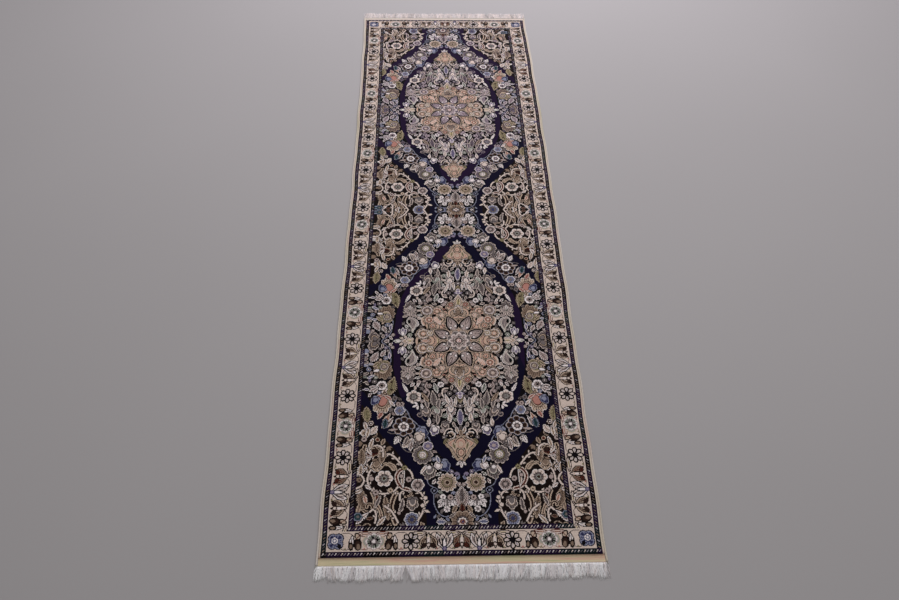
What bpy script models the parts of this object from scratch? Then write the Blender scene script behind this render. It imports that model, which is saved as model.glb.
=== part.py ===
"""A hand-knotted runner rug: a woven cotton foundation with knotted wool pile, flat-woven ends,
twined end rows, warp fringes and overcast selvedges. Metres, +Z up, the rug's length along Y.

The origin is on the floor below the middle of the rug. Every piece lies on the floor or on the
foundation, and touching pieces keep a gap of SEAM.
"""

import math

import bmesh
import bpy
from mathutils import Matrix, Vector

# Overall sizes of the woven rug, without its fringes.
WOVEN_WIDTH = 0.820
WOVEN_LENGTH = 2.790

# Heights.
FOUNDATION_THICKNESS = 0.0025
PILE_HEIGHT = 0.0055
FLATWEAVE_THICKNESS = 0.0022

# Widths of the bands, from the edge of the rug to its field.
SELVEDGE_DIAMETER = 0.0066
SELVEDGE_WALL = 0.0013
EDGE_PILE_WIDTH = 0.0050
OUTER_GUARD_WIDTH = 0.0145
MAIN_BORDER_WIDTH = 0.0580
INNER_GUARD_WIDTH = 0.0150

# The ends.
FLATWEAVE_LENGTH = 0.0215
TWINING_DIAMETER = 0.0026
FRINGE_LENGTH = 0.0470
FRINGE_THICKNESS = 0.0020
FRINGE_HEADING = 0.0050
TASSEL_PITCH = 0.0100
TASSEL_ROOT_WIDTH = 0.0080
TASSEL_TIP_WIDTH = 0.0060

# Shared clearances and finishes.
SEAM = 0.0003
PILE_SHOULDER = 0.0008
ROUND_SIDES = 16

# Places that follow from the sizes above.
HALF_WIDTH = WOVEN_WIDTH / 2
HALF_LENGTH = WOVEN_LENGTH / 2
BODY_HALF_WIDTH = HALF_WIDTH - SELVEDGE_DIAMETER - SEAM
BODY_HALF_LENGTH = HALF_LENGTH - FLATWEAVE_LENGTH - SEAM
PILE_BOTTOM = FOUNDATION_THICKNESS + SEAM
PILE_TOP = PILE_BOTTOM + PILE_HEIGHT
SIDES = {"left": -1, "right": 1}
ENDS = {"near": -1, "far": 1}

# Name, colour (linear RGB) and roughness of each yarn.
YARNS = {
    "cotton_ground": ((0.62, 0.56, 0.46), 0.95),
    "cotton_white": ((0.74, 0.71, 0.67), 0.90),
    "flatweave_cotton": ((0.66, 0.52, 0.36), 0.92),
    "selvedge_wool": ((0.64, 0.53, 0.39), 0.90),
    "navy_wool": ((0.016, 0.012, 0.035), 0.85),
    "guard_wool": ((0.030, 0.024, 0.040), 0.85),
    "ivory_wool": ((0.56, 0.47, 0.38), 0.88),
}


def clear_scene():
    for obj in list(bpy.data.objects):
        bpy.data.objects.remove(obj, do_unlink=True)


def make_yarns():
    """One Principled material for each yarn."""
    made = {}
    for name, (colour, roughness) in YARNS.items():
        material = bpy.data.materials.new(name)
        material.use_nodes = True
        shader = material.node_tree.nodes["Principled BSDF"]
        shader.inputs["Base Color"].default_value = (*colour, 1.0)
        shader.inputs["Roughness"].default_value = roughness
        shader.inputs["Metallic"].default_value = 0.0
        made[name] = material
    return made


def add_object(name, shape, yarn, location=(0.0, 0.0, 0.0)):
    """Turns a bmesh into a named object of one yarn, and parents it to the rug."""
    mesh = bpy.data.meshes.new(name)
    shape.to_mesh(mesh)
    shape.free()
    mesh.materials.append(YARN_MATERIALS[yarn])
    obj = bpy.data.objects.new(name, mesh)
    obj.location = location
    obj.parent = RUG
    bpy.context.scene.collection.objects.link(obj)
    return obj


def add_slab(name, x_range, y_range, z_range, yarn):
    """A rectangular layer between three pairs of limits, its origin at its own centre."""
    low = Vector((x_range[0], y_range[0], z_range[0]))
    high = Vector((x_range[1], y_range[1], z_range[1]))
    shape = bmesh.new()
    bmesh.ops.create_cube(shape, size=1.0, matrix=Matrix.Diagonal((*(high - low), 1.0)))
    return add_object(name, shape, yarn, (low + high) / 2)


def add_pile(name, x_range, y_range, yarn):
    """A layer of knotted pile on the foundation, with clipped shoulders along its edges."""
    obj = add_slab(name, x_range, y_range, (PILE_BOTTOM, PILE_TOP), yarn)
    shoulder = obj.modifiers.new("shoulder", "BEVEL")
    shoulder.width = PILE_SHOULDER
    shoulder.segments = 1
    shoulder.limit_method = "ANGLE"
    return obj


def mirrored(side, inner, outer):
    """The range from inner to outer on the side of the axis that side names, low end first."""
    return tuple(sorted((side * inner, side * outer)))


def add_band(name, outer_x, outer_y, width, yarn):
    """A band of pile round the rug: two full-width end strips, and two side strips between them.

    outer_x and outer_y are its outer half sizes. Returns the half sizes that the next band fits in.
    """
    inner_x = outer_x - width
    inner_y = outer_y - width
    for end, sign in ENDS.items():
        add_pile(f"{name}_{end}", (-outer_x, outer_x), mirrored(sign, inner_y, outer_y), yarn)
    for side, sign in SIDES.items():
        side_y = inner_y - SEAM
        add_pile(f"{name}_{side}", mirrored(sign, inner_x, outer_x), (-side_y, side_y), yarn)
    return inner_x - SEAM, inner_y - SEAM


def add_foundation():
    """The woven cotton ground of warps and wefts that the pile is knotted on."""
    add_slab(
        "foundation_weave",
        (-BODY_HALF_WIDTH, BODY_HALF_WIDTH),
        (-BODY_HALF_LENGTH, BODY_HALF_LENGTH),
        (0.0, FOUNDATION_THICKNESS),
        "cotton_ground",
    )


def add_knotted_pile():
    """The plain edge strips, the three border bands and the field, from outside to inside."""
    edge_inner = BODY_HALF_WIDTH - EDGE_PILE_WIDTH
    for side, sign in SIDES.items():
        add_pile(
            f"edge_pile_{side}",
            mirrored(sign, edge_inner, BODY_HALF_WIDTH),
            (-BODY_HALF_LENGTH, BODY_HALF_LENGTH),
            "ivory_wool",
        )
    x, y = edge_inner - SEAM, BODY_HALF_LENGTH
    x, y = add_band("outer_guard", x, y, OUTER_GUARD_WIDTH, "guard_wool")
    x, y = add_band("main_border", x, y, MAIN_BORDER_WIDTH, "ivory_wool")
    x, y = add_band("inner_guard", x, y, INNER_GUARD_WIDTH, "guard_wool")
    add_pile("field_pile", (-x, x), (-y, y), "navy_wool")


def add_rod(name, radius, half_length, centre, yarn, bore=0.0):
    """A round yarn or wrapping along Y. With a bore it is a tube, open at both ends."""
    shape = bmesh.new()
    rings = []
    for y in (-half_length, half_length):
        for r in (radius, bore) if bore else (radius,):
            angles = (2 * math.pi * i / ROUND_SIDES for i in range(ROUND_SIDES))
            ring = [shape.verts.new((r * math.cos(a), y, r * math.sin(a))) for a in angles]
            rings.append(ring)
    if bore:
        outer_low, inner_low, outer_high, inner_high = rings
        pairs = (
            (outer_low, outer_high),
            (outer_high, inner_high),
            (inner_high, inner_low),
            (inner_low, outer_low),
        )
    else:
        pairs = (tuple(rings),)
        for ring in rings:
            shape.faces.new(ring)
    for first, second in pairs:
        for i in range(ROUND_SIDES):
            j = (i + 1) % ROUND_SIDES
            shape.faces.new((first[i], first[j], second[j], second[i]))
    bmesh.ops.recalc_face_normals(shape, faces=shape.faces)
    obj = add_object(name, shape, yarn, centre)
    obj.data.shade_smooth()
    obj.data.set_sharp_from_angle(angle=math.radians(40))
    return obj


def add_selvedges():
    """Along each side, a core of bundled warps inside an overcast wrapping of wool."""
    radius = SELVEDGE_DIAMETER / 2
    bore = radius - SELVEDGE_WALL
    for side, sign in SIDES.items():
        centre = (sign * (HALF_WIDTH - radius), 0.0, radius)
        add_rod(f"selvedge_wrap_{side}", radius, HALF_LENGTH, centre, "selvedge_wool", bore)
        add_rod(f"selvedge_core_{side}", bore - SEAM, HALF_LENGTH, centre, "cotton_ground")


def add_end_finish():
    """At each end, the flat-woven band and the twined row of weft that locks it."""
    width = BODY_HALF_WIDTH
    twining = TWINING_DIAMETER / 2
    for end, sign in ENDS.items():
        add_slab(
            f"flatweave_{end}",
            (-width, width),
            mirrored(sign, HALF_LENGTH - FLATWEAVE_LENGTH, HALF_LENGTH),
            (0.0, FLATWEAVE_THICKNESS),
            "flatweave_cotton",
        )
        centre = (0.0, sign * (HALF_LENGTH + SEAM + twining), twining)
        row = add_rod(f"twined_row_{end}", twining, HALF_WIDTH, centre, "cotton_white")
        row.rotation_euler = (0.0, 0.0, math.radians(90))


def fringe_outline():
    """The outline of a fringe: a heading at y = 0 and tassels that narrow towards their tips."""
    count = int((WOVEN_WIDTH - TASSEL_ROOT_WIDTH) / TASSEL_PITCH) + 1
    first = -(count - 1) / 2 * TASSEL_PITCH
    root, tip = TASSEL_ROOT_WIDTH / 2, TASSEL_TIP_WIDTH / 2
    half_heading = -first + root
    points = [(half_heading, 0.0), (-half_heading, 0.0)]
    for i in range(count):
        x = first + i * TASSEL_PITCH
        points += [
            (x - root, -FRINGE_HEADING),
            (x - tip, -FRINGE_LENGTH),
            (x + tip, -FRINGE_LENGTH),
            (x + root, -FRINGE_HEADING),
        ]
    return points


def add_fringes():
    """The warp ends: a row of tassels beyond each twined row, joined by a short heading."""
    start = HALF_LENGTH + 2 * SEAM + TWINING_DIAMETER
    for end, sign in ENDS.items():
        shape = bmesh.new()
        corners = [shape.verts.new((x, y, 0.0)) for x, y in fringe_outline()]
        face = shape.faces.new(corners)
        raised = bmesh.ops.extrude_face_region(shape, geom=[face])["geom"]
        top = [v for v in raised if isinstance(v, bmesh.types.BMVert)]
        bmesh.ops.translate(shape, verts=top, vec=(0.0, 0.0, FRINGE_THICKNESS))
        bmesh.ops.recalc_face_normals(shape, faces=shape.faces)
        fringe = add_object(f"fringe_{end}", shape, "cotton_white", (0.0, sign * start, 0.0))
        fringe.rotation_euler = (0.0, 0.0, 0.0 if sign < 0 else math.pi)


clear_scene()
YARN_MATERIALS = make_yarns()
RUG = bpy.data.objects.new("rug", None)
bpy.context.scene.collection.objects.link(RUG)
add_foundation()
add_knotted_pile()
add_selvedges()
add_end_finish()
add_fringes()
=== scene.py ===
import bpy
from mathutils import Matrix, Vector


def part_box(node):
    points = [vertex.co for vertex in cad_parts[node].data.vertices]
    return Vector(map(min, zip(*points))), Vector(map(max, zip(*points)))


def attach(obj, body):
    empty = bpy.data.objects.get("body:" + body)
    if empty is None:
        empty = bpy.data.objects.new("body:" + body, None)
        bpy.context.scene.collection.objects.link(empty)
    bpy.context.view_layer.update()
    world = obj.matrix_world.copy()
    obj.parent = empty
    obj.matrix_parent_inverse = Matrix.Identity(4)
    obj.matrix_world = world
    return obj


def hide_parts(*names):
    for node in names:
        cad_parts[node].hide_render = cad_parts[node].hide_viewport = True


bl_info = {
    "name": "Runner rug",
    "version": (1, 0, 0),
    "blender": (4, 5, 0),
    "location": "View3D > Sidebar > Rug",
    "description": "Knots, finishes and lights a hand-knotted runner rug on its woven frame",
    "category": "Object",
}

import math

import bmesh
import bpy
import numpy as np
from bpy.props import FloatProperty, FloatVectorProperty, IntProperty, PointerProperty
from mathutils import Euler, Vector

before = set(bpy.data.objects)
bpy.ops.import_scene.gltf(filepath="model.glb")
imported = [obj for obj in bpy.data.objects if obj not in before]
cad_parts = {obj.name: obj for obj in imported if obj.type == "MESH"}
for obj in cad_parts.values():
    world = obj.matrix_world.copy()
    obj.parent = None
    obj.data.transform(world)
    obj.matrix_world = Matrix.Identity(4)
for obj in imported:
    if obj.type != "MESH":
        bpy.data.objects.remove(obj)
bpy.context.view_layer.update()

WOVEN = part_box("foundation_weave")
HALF_LENGTH = -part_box("selvedge_wrap_left")[0].y
FIELD_LOW, FIELD_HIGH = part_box("field_pile")
# the pile's pieces meet in the middle of the gap that the frame leaves between their solids
HALF_SEAM = (FIELD_LOW.z - WOVEN[1].z) / 2
# each side and end, with the way it lies from the middle
SIDES = {"left": -1, "right": 1}
ENDS = {"near": -1, "far": 1}

# each yarn's letter in the knot plans, its name and its colour
YARNS = {
    "k": ("black brown wool", (13, 9, 13)),
    "n": ("midnight blue wool", (12, 9, 33)),
    "b": ("dark walnut wool", (24, 15, 13)),
    "d": ("brown wool", (50, 33, 27)),
    "x": ("red brown wool", (88, 42, 32)),
    "w": ("white wool", (232, 222, 220)),
    "i": ("ivory wool", (216, 199, 189)),
    "c": ("cream wool", (193, 171, 152)),
    "t": ("tan wool", (132, 112, 97)),
    "p": ("peach wool", (204, 163, 143)),
    "r": ("rose wool", (178, 126, 114)),
    "o": ("olive gold wool", (142, 132, 102)),
    "g": ("grey wool", (114, 105, 104)),
    "m": ("pale mint wool", (158, 161, 150)),
    "s": ("blue grey wool", (138, 140, 160)),
    "u": ("indigo wool", (56, 58, 92)),
    "e": ("teal wool", (44, 70, 74)),
    "l": ("lilac wool", (134, 122, 144)),
    "f": ("fawn wool", (174, 156, 151)),
    "a": ("border ivory wool", (213, 195, 183)),
    "y": ("straw wool", (196, 180, 134)),
    "h": ("dash grey wool", (176, 168, 176)),
    "j": ("edge cream wool", (214, 200, 182)),
    "q": ("edge ivory wool", (214, 192, 178)),
    "z": ("violet navy wool", (30, 15, 44)),
    "v": ("dark teal wool", (18, 28, 32)),
    # G, F and T, and z where it comes in at the far end of the field, are painted sheen: violet copies of grey, fawn,
    # tan and blue
    "G": ("lilac grey wool", (106, 95, 107)),
    "F": ("pale lilac wool", (164, 147, 155)),
    "T": ("ash tan wool", (122, 105, 99)),
}
KEYS = "".join(YARNS)
PLANS = {}  # the knot plans of the field, the side borders and the end borders

# what rims and veins each yarn takes: the rim first, the veins second
DETAIL = {
    "g": "id", "f": "wd", "t": "cd", "p": "ix", "o": "cd", "c": "wd", "i": "wt", "s": "wu", "l": "wu", "m": "wk",
    "e": "sk", "r": "ix", "w": "wg", "u": "sk", "x": "tk", "d": "ck", "a": "wd", "y": "id",
}
RIM_FROM = 9  # knots across a motif from which it gets a rim
RIB_HALF = 0.9  # half width of a thin rib, in knots


def rim_of(yarn):
    return DETAIL.get(yarn, yarn)[0]


def veins_of(yarn):
    return DETAIL.get(yarn, "kk")[1]


def towards(turn, away=1.0):
    """The step from a point to one so far away in a direction."""
    return away * math.cos(math.radians(turn)), away * math.sin(math.radians(turn))


def each(motif, *rows):
    """Draws one kind of motif for each row of values, each over the one before."""
    for row in rows:
        motif(*row)


class Cartoon:
    """A knot plan at one knot per millimetre: rows along the rug, columns across it."""

    def __init__(self, across, along, ground, line=2.0, toothed=True):
        self.ink = np.full((along, across), KEYS.index(ground), np.uint8)
        self.y, self.x = np.mgrid[0:along, 0:across] + 0.5
        self.line, self.toothed = line, toothed

    def cut_out(self, low, high):
        """The rows and columns of the plan between two corners."""
        spans = [(max(0, int(a)), max(0, min(size, int(b)))) for a, b, size in zip(low, high, self.ink.shape[::-1])]
        return slice(*spans[1]), slice(*spans[0])

    def window(self, x, y, turn, reach):
        """The part of the plan round a point, with each knot's place along and across a direction."""
        cut = self.cut_out((x - reach, y - reach), (x + reach + 1, y + reach + 1))
        u, v = self.x[cut] - x, self.y[cut] - y
        c, s = towards(turn)
        return cut, u * c + v * s, v * c - u * s

    def polar(self, x, y, turn, reach):
        cut, a, b = self.window(x, y, turn, reach)
        return cut, np.hypot(a, b), np.arctan2(b, a)

    def tie(self, cut, where, yarn):
        self.ink[cut][where] = KEYS.index(yarn)

    def lay(self, cut, depth, layers, step=0):
        """Rings of yarn: the first one step outside the edge, each next one a step further in."""
        for i, yarn in enumerate(layers):
            if yarn != " ":
                self.tie(cut, depth < (step or self.line) * (1 - i), yarn)

    def rings(self, fill, edge, size):
        """The outline, rim and filling of a motif; small ones have no rim."""
        return (edge or " ") + (rim_of(fill) if size > RIM_FROM else "") + fill

    def round(self, x, y, r, layers, step, squat=1.0):
        """A disc, or an upright oval where squat is over one, in rings of yarn."""
        cut, a, b = self.window(x, y, 0, r + 4)
        self.lay(cut, np.hypot(a, b / squat) - r, layers, step)

    def disc(self, x, y, r, fill, edge=""):
        if r > 7.5:
            self.rosette(x, y, r, 6, fill + veins_of(fill), 15, edge)
        else:
            self.round(x, y, r, (edge or " ") + fill, self.line)

    def oval(self, x, y, ra, rb, turn, fill, edge=""):
        cut, a, b = self.window(x, y, turn, max(ra, rb) + 5)
        self.lay(cut, (np.hypot(a / ra, b / rb) - 1) * min(ra, rb), (edge or " ") + fill)

    def leaf(self, x, y, long, wide, turn, fill, edge="k", belly=0.5, bend=0, vein="", teeth=None):
        """A pointed leaf from its foot at x, y. belly is where it is widest, bend curves it."""
        cut, a, b = self.window(x, y, turn, long + abs(bend) + 6)
        t = np.clip(a / long, 0, 1)
        b = b - bend * np.sin(math.pi * t)
        width = wide / 2 * np.sin(math.pi * t ** (math.log(0.5) / math.log(belly))) ** 0.8
        if teeth is None and self.toothed and wide > RIM_FROM:
            teeth = 7 if wide > 15 else 5
        if teeth:
            width = width * (0.74 + 0.42 * ((a / teeth) % 1))
        ends = np.maximum(-a, a - long)
        depth = np.where(ends > 0, np.hypot(ends, b), np.abs(b) - width)
        self.lay(cut, depth, self.rings(fill, edge, wide))
        if wide > 8:
            rib = (np.abs(b) < RIB_HALF) & (t < 0.82)
            if wide > 15:
                rib |= (np.abs(b) + a) % 6.5 < 1.3
            self.tie(cut, rib & (depth < -1.8) & (t > 0.08), vein or veins_of(fill))

    def rosette(self, x, y, r, petals, layers, turn=0, edge="k", lobe=0.2, rays=""):
        """layers is a string of yarns from the petals in to the heart."""
        cut, rr, th = self.polar(x, y, turn, r + 5)
        share = np.abs(np.cos(petals * th / 2))
        depth = rr - r * (1 - lobe + lobe * share ** 0.7)
        self.lay(cut, depth, self.rings(layers[0], edge, r))
        step = 2 * math.pi / petals
        n = len(layers)
        core = r * (0.55 if n > 2 else 0.36)
        middle = np.abs((th / step + 0.5) % 1 - 0.5) * step * rr
        if r > RIM_FROM:
            gap = np.abs(th / step % 1 - 0.5) * step * rr
            self.tie(cut, (gap < 1.0) & (depth < -1.6) & (rr > core), rays or veins_of(layers[0]))
            if r > 17:
                self.tie(cut, (middle < 0.8) & (depth < -5) & (rr > core), veins_of(layers[0]))
        for i, yarn in enumerate(layers[1:]):
            size = core * (1 - i / max(1, n - 1))
            self.tie(cut, rr < size * (0.86 + 0.14 * share), yarn)
            if size > 7 and i == 0:
                self.tie(cut, (rr < size) & (rr > size - 1.8), veins_of(yarn))
                self.tie(cut, (middle < 1.1) & (rr < size) & (rr > size * 0.45), veins_of(yarn))

    def heart(self, x, y, long, wide, turn, grow, layers):
        """A broad-footed pointed petal, grown outwards by a margin, in rings of yarn."""
        cut, a, b = self.window(x, y, turn, long + grow + 10)
        t = np.clip((a + grow * 0.8) / (long + grow * 2), 0, 1)
        width = (wide / 2 + grow) * np.sin(math.pi * t ** 0.62) ** 0.75
        ends = np.maximum(-a - grow * 0.8, a - long - grow * 1.2)
        self.lay(cut, np.where(ends > 0, np.hypot(ends, b) + 2.2, np.abs(b) - width), layers, 2.2)

    def spokes(self, x, y, r0, r1, count, yarn, turn, wide):
        cut, rr, th = self.polar(x, y, turn, r1 + 2)
        step = 2 * math.pi / count
        off = np.abs((th + step / 2) % step - step / 2) * rr
        self.tie(cut, (off < wide / 2) & (rr > r0) & (rr < r1), yarn)

    def palmette(self, x, y, r, turn, layers, petals=7, squat=1.0, edge="k"):
        """A fan of petals that opens along turn, its calyx at x, y."""
        cut, a, b = self.window(x, y, turn, 2 * r + 5)
        a, b = a - r * 0.15, b / squat
        rr, th = np.hypot(a, b), np.arctan2(b, a)
        fan = 0.72 + 0.28 * np.cos(th) + 0.20 * np.maximum(0, np.cos(th)) ** 6
        depth = rr - r * fan * (0.82 + 0.18 * np.abs(np.cos(petals * th / 2)))
        self.lay(cut, depth, self.rings(layers[0], edge, r))
        foot = a + 0.55 * r
        r2, th2 = np.hypot(foot, b), np.arctan2(b, foot)
        step = 1.5 / petals
        off = np.abs((th2 / step) % 1 - 0.5) * step * r2
        self.tie(cut, (off < RIB_HALF) & (depth < -2) & (r2 > 0.5 * r), veins_of(layers[0]))
        for i, yarn in enumerate(layers[1:]):
            size = r * (0.62 - 0.36 * i / len(layers))
            heart = np.hypot((a + 0.12 * r) / 1.25, b) - size * (0.8 + 0.2 * np.cos(th2) ** 8)
            rim = DETAIL.get(yarn, yarn)[1 - i % 2] if size > 6 else ""
            self.lay(cut, heart + 2, rim + yarn, 2.0)
        back = towards(turn, 0.42 * r)
        for side in (-1, 1):
            self.leaf(x - back[0], y - back[1], r * 0.8, r * 0.3, turn + side * 62, layers[-1], edge, 0.5, side * 2)

    def tulip(self, x, y, size, turn, yarn, spread, heart="", edge="k"):
        for off in (-spread, spread, 0):
            self.leaf(x, y, size * (1.0 if off else 1.12), size * 0.42, turn + off, yarn, edge, 0.55)
        if heart:
            self.leaf(x, y, size * 0.7, size * 0.2, turn, heart, "")

    def path(self, points, steps):
        """A smooth line through the points, with so many steps from each to the next."""
        pts = np.array(points, float)
        ext = np.vstack([2 * pts[0] - pts[1], pts, 2 * pts[-1] - pts[-2]])
        t = np.linspace(0, 1, steps, endpoint=False)[:, None]
        out = []
        for p0, p1, p2, p3 in zip(ext, ext[1:], ext[2:], ext[3:]):
            out.append(0.5 * (2 * p1 + (p2 - p0) * t + (2 * p0 - 5 * p1 + 4 * p2 - p3) * t * t
                              + (3 * p1 - p0 - 3 * p2 + p3) * t ** 3))
        return np.vstack(out + [pts[-1:]])

    def vine(self, points, yarn, wide=2.4, edge="", core="", thorns="", steps=24):
        """A smooth stem through the points, with a core of another yarn and small leaves beside it."""
        path = self.path(points, steps)
        far = np.concatenate([[0], np.cumsum(np.hypot(*np.diff(path, axis=0).T))])
        if thorns:
            for i in range(1, int(far[-1] / THORN_PITCH)):
                k = int(np.searchsorted(far, i * THORN_PITCH))
                dx, dy = path[min(k + 1, len(path) - 1)] - path[k - 1]
                turn = math.degrees(math.atan2(dy, dx)) + (52 if i % 2 else -52)
                self.leaf(*path[k], 9 + wide, 5, turn, thorns, edge)
        for width, ink in ((wide + 3.6, edge), (wide, yarn), (wide * 0.46, core)):
            if not ink:
                continue
            k = np.arange(-int(width / 2 + 1), int(width / 2 + 2))
            oy, ox = np.meshgrid(k, k, indexing="ij")
            px, py = path[:, 0, None, None], path[:, 1, None, None]
            cy, cx = np.floor(py) + oy, np.floor(px) + ox
            near = np.hypot(cx + 0.5 - px, cy + 0.5 - py) <= width / 2
            near &= (cx >= 0) & (cy >= 0) & (cx < self.ink.shape[1]) & (cy < self.ink.shape[0])
            self.ink[cy[near].astype(int), cx[near].astype(int)] = KEYS.index(ink)

    def curl(self, x, y, r, start, turns, yarn, wide=2.6, edge="", core=""):
        """A spiral that begins at radius r in the direction start and winds in to a quarter of it."""
        n = max(6, int(abs(turns) * 10))
        a = np.radians(start) + np.linspace(0, turns * 2 * math.pi, n)
        rr = r * np.linspace(1, 0.25, n)
        self.vine(np.stack([x + rr * np.cos(a), y + rr * np.sin(a)], 1), yarn, wide, edge, core, steps=8)

    def outline(self, points, layers, step=2.4):
        """A closed shape through the points, with rings of yarn inside its edge."""
        path = self.path([*points, points[0]], 6)
        cut = self.cut_out(path.min(0) - 8, path.max(0) + 8)
        x, y = self.x[cut], self.y[cut]
        inside = np.zeros(x.shape, bool)
        away = np.full(x.shape, 1e9)
        for (xa, ya), (xb, yb) in zip(path, np.roll(path, -1, 0)):
            dx, dy = xb - xa, yb - ya
            if dx or dy:
                t = np.clip(((x - xa) * dx + (y - ya) * dy) / (dx * dx + dy * dy), 0, 1)
                away = np.minimum(away, np.hypot(x - xa - t * dx, y - ya - t * dy))
            if dy:
                inside ^= ((y > ya) != (y > yb)) & (x < xa + (y - ya) * dx / dy)
        self.lay(cut, np.where(inside, -away, away), layers, step)

    def room(self, free, size):
        """Where a motif of this size fits: the free ground shrunk by a knot, size times over."""
        ok = free.copy()
        for i in range(int(size)):
            inner = ok.copy()
            inner[1:] &= ok[:-1]
            inner[:-1] &= ok[1:]
            inner[:, 1:] &= ok[:, :-1]
            inner[:, :-1] &= ok[:, 1:]
            if i % 2:
                inner[1:, 1:] &= ok[:-1, :-1]
                inner[:-1, :-1] &= ok[1:, 1:]
                inner[1:, :-1] &= ok[:-1, 1:]
                inner[:-1, 1:] &= ok[1:, :-1]
            ok = inner
        return ok

    def sprinkle(self, region, sizes, yarns, turn, spread, seed, grounds="knb"):
        """Fills the empty ground of a region with small leaves, buds and florets, the widest gaps first."""
        rng = np.random.default_rng(seed)
        for size in sizes:
            ok = self.room(region & np.isin(self.ink, [KEYS.index(g) for g in grounds]), size)
            spots = np.argwhere(ok)
            rng.shuffle(spots)
            keep, r = int(size * 2.1), size + 0.6
            for j, i in spots:
                if not ok[j, i]:
                    continue
                ok[max(0, j - keep) : j + keep + 1, max(0, i - keep) : i + keep + 1] = False
                way = turn(i, j) + rng.uniform(-spread, spread)
                yarn = yarns[rng.integers(len(yarns))]
                kind = rng.random()
                if size < 4 or kind < 0.5:
                    dx, dy = towards(way, r * 1.15)
                    self.leaf(i - dx, j - dy, 2.3 * r, 1.25 * r, way, yarn, "")
                elif kind < 0.8:
                    self.rosette(i, j, r, 5 if size < 8 else 6, yarn + "dw", way, "", 0.25)
                else:
                    dx, dy = towards(way, r * 0.8)
                    self.tulip(i - dx, j - dy, 1.6 * r, way, yarn, 38, edge="")


THORN_PITCH = 13.0  # knots between the small leaves along a stem

# The two dark bands round a medallion, in knots: how far out each edge is, at distances along the rug
# from the heart of the medallion. The inner band goes from IN_IN to IN_OUT, the outer from OUT_IN to OUT_OUT.
D_IN = (0, 110, 160, 210, 260, 310, 360, 410, 460, 500)
IN_OUT = (224, 219, 211, 196, 175, 141, 106, 80, 38, -1)
IN_IN = (204, 193, 180, 160, 133, 99, 66, 38, 9, -20)
D_OUT = (0, 200, 240, 280, 310, 360, 410, 460, 510, 560, 600, 640, 660)
OUT_OUT = (330, 330, 318, 294, 277, 246, 203, 170, 132, 113, 106, 103, 103)
OUT_IN = (330, 312, 288, 262, 240, 205, 160, 127, 104, 86, 78, 76, 76)


def field_quarter(across, along):
    """A quarter of the repeat: columns out from the middle of the rug, rows out from a medallion."""
    c = Cartoon(across, along, "n")
    garland = (c.x > np.interp(c.y, D_IN, IN_OUT)) & (c.x < np.interp(c.y, D_OUT, OUT_IN))
    spandrel = c.x > np.interp(c.y, D_OUT, OUT_OUT)
    inside = c.x < np.interp(c.y, D_IN, IN_IN)
    c.ink[garland | inside] = KEYS.index("k")
    c.ink[spandrel] = KEYS.index("b")
    lozenge(c)
    medallion(c)
    garland_chain(c)
    neck(c)
    spandrels(c)
    ragged = 4 * np.sin(c.y / 5.3) + 3 * np.sin(c.y / 2.9 + 1)
    inside = c.x < np.interp(c.y, D_IN, IN_IN) + ragged
    garland = (c.x > np.interp(c.y, D_IN, IN_OUT) + ragged) & (c.x < np.interp(c.y, D_OUT, OUT_IN) - ragged)
    c.sprinkle(inside, (8, 6.5), "gfigmgf", lambda x, y: math.degrees(math.atan2(y, x)), 50, 3)
    c.sprinkle(garland, (8, 6), "gsfgmlf", lambda x, y: 115 - x / 6, 70, 4)
    c.sprinkle(spandrel, (10, 8.5), "tdgdtx", lambda x, y: 70 + x, 180, 5, "b")
    return c.ink


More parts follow.
